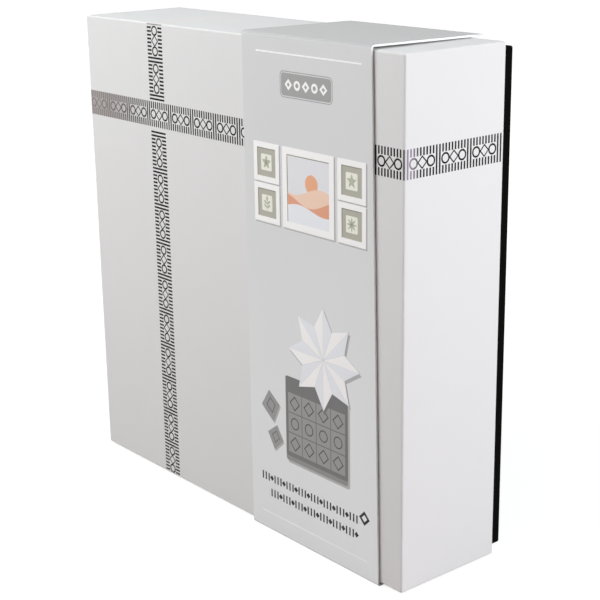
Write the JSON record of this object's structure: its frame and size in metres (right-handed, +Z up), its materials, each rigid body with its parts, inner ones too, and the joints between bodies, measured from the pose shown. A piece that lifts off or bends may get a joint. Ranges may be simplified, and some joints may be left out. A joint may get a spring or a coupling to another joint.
{
  "type": "boxed folding picture frame set",
  "caption": "Square lift-off keepsake box with a printed card wrap, holding a folding picture frame with cast hand and foot impressions and small lidded card boxes.",
  "frame": {"origin": "middle of the foot of the whole set, under the standing box", "axes": "+X to the right along the front, +Y to the back, +Z up; the lid's face looks along -Y"},
  "size_m": [0.31, 0.0884, 0.3146],
  "materials": {
    "white_lid_paper": "matte",
    "black_base_paper": "matte",
    "grey_wrap_card": "satin",
    "grey_box_paper": "matte",
    "white_moulding_paint": "satin",
    "clear_pane": "gloss",
    "photo_paper": "satin",
    "taupe_mat_board": "matte",
    "backboard": "matte",
    "cream_casting": "matte",
    "bronze_hinge": "satin",
    "steel_tab": "satin"
  },
  "bodies": {
    "base": {"base_tray": "black_base_paper", "keepsake_tray_small_1": "grey_box_paper", "keepsake_tray_long_1": "grey_box_paper", "keepsake_tray_small_2": "grey_box_paper", "keepsake_tray_long_2": "grey_box_paper", "keepsake_tray_small_3": "grey_box_paper", "keepsake_tray_long_3": "grey_box_paper"},
    "lid": {"lid": "white_lid_paper"},
    "wrap": {"card_wrap": "grey_wrap_card"},
    "frame_centre": {"centre_moulding": "white_moulding_paint", "centre_pane": "clear_pane", "centre_photo": "photo_paper", "centre_backboard": "backboard", "centre_tabs": "steel_tab", "left_hinge_fixed_leaves": "bronze_hinge", "left_hinge_pins": "bronze_hinge", "left_fixed_screws": "bronze_hinge", "right_hinge_fixed_leaves": "bronze_hinge", "right_hinge_pins": "bronze_hinge", "right_fixed_screws": "bronze_hinge"},
    "left_wing": {"left_moulding": "white_moulding_paint", "left_mat": "taupe_mat_board", "left_backboard": "backboard", "left_tabs": "steel_tab", "left_hinge_moving_leaves": "bronze_hinge", "left_moving_screws": "bronze_hinge", "hand_plaque": "cream_casting"},
    "right_wing": {"right_moulding": "white_moulding_paint", "right_mat": "taupe_mat_board", "right_backboard": "backboard", "right_tabs": "steel_tab", "right_hinge_moving_leaves": "bronze_hinge", "right_moving_screws": "bronze_hinge", "foot_plaque": "cream_casting"},
    "keepsake_lid_small_1": {"keepsake_lid_small_1": "grey_box_paper"},
    "keepsake_lid_long_1": {"keepsake_lid_long_1": "grey_box_paper"},
    "keepsake_lid_small_2": {"keepsake_lid_small_2": "grey_box_paper"},
    "keepsake_lid_long_2": {"keepsake_lid_long_2": "grey_box_paper"},
    "keepsake_lid_small_3": {"keepsake_lid_small_3": "grey_box_paper"},
    "keepsake_lid_long_3": {"keepsake_lid_long_3": "grey_box_paper"}
  },
  "joints": [
    {"name": "lid_lift", "type": "slide", "parent": "base", "child": "lid", "axis": [0, -1, 0], "range_m": [0, 0.8]},
    {"name": "wrap_slide", "type": "slide", "parent": "lid", "child": "wrap", "axis": [1, 0, 0], "range_m": [-0.295, 0.145]},
    {"name": "frame_lift", "type": "slide", "parent": "base", "child": "frame_centre", "axis": [0, -1, 0], "range_m": [0, 0.42]},
    {"name": "right_wing_fold", "type": "hinge", "parent": "frame_centre", "child": "right_wing", "pos_m": [0.0593, -0.0192, 0.0932], "axis": [0, 0, 1], "range_deg": [0, 180]},
    {"name": "left_wing_fold", "type": "hinge", "parent": "frame_centre", "child": "left_wing", "pos_m": [-0.0593, -0.0018, 0.0932], "axis": [0, 0, 1], "range_deg": [0, 180]},
    {"name": "keepsake_lift_small_1", "type": "slide", "parent": "base", "child": "keepsake_lid_small_1", "axis": [0, -1, 0], "range_m": [0, 0.04]},
    {"name": "keepsake_lift_long_1", "type": "slide", "parent": "base", "child": "keepsake_lid_long_1", "axis": [0, -1, 0], "range_m": [0, 0.04]},
    {"name": "keepsake_lift_small_2", "type": "slide", "parent": "base", "child": "keepsake_lid_small_2", "axis": [0, -1, 0], "range_m": [0, 0.04]},
    {"name": "keepsake_lift_long_2", "type": "slide", "parent": "base", "child": "keepsake_lid_long_2", "axis": [0, -1, 0], "range_m": [0, 0.04]},
    {"name": "keepsake_lift_small_3", "type": "slide", "parent": "base", "child": "keepsake_lid_small_3", "axis": [0, -1, 0], "range_m": [0, 0.04]},
    {"name": "keepsake_lift_long_3", "type": "slide", "parent": "base", "child": "keepsake_lid_long_3", "axis": [0, -1, 0], "range_m": [0, 0.04]}
  ],
  "couplings": [
    {"joint": "frame_lift", "follows": "lid_lift", "ratio": 0.525},
    {"joint": "right_wing_fold", "follows": "lid_lift", "rad_per_m": 3.9269},
    {"joint": "left_wing_fold", "follows": "lid_lift", "rad_per_m": 3.9269},
    {"joint": "keepsake_lift_small_1", "follows": "lid_lift", "ratio": 0.05},
    {"joint": "keepsake_lift_long_1", "follows": "lid_lift", "ratio": 0.05},
    {"joint": "keepsake_lift_small_2", "follows": "lid_lift", "ratio": 0.05},
    {"joint": "keepsake_lift_long_2", "follows": "lid_lift", "ratio": 0.05},
    {"joint": "keepsake_lift_small_3", "follows": "lid_lift", "ratio": 0.05},
    {"joint": "keepsake_lift_long_3", "follows": "lid_lift", "ratio": 0.05}
  ]
}
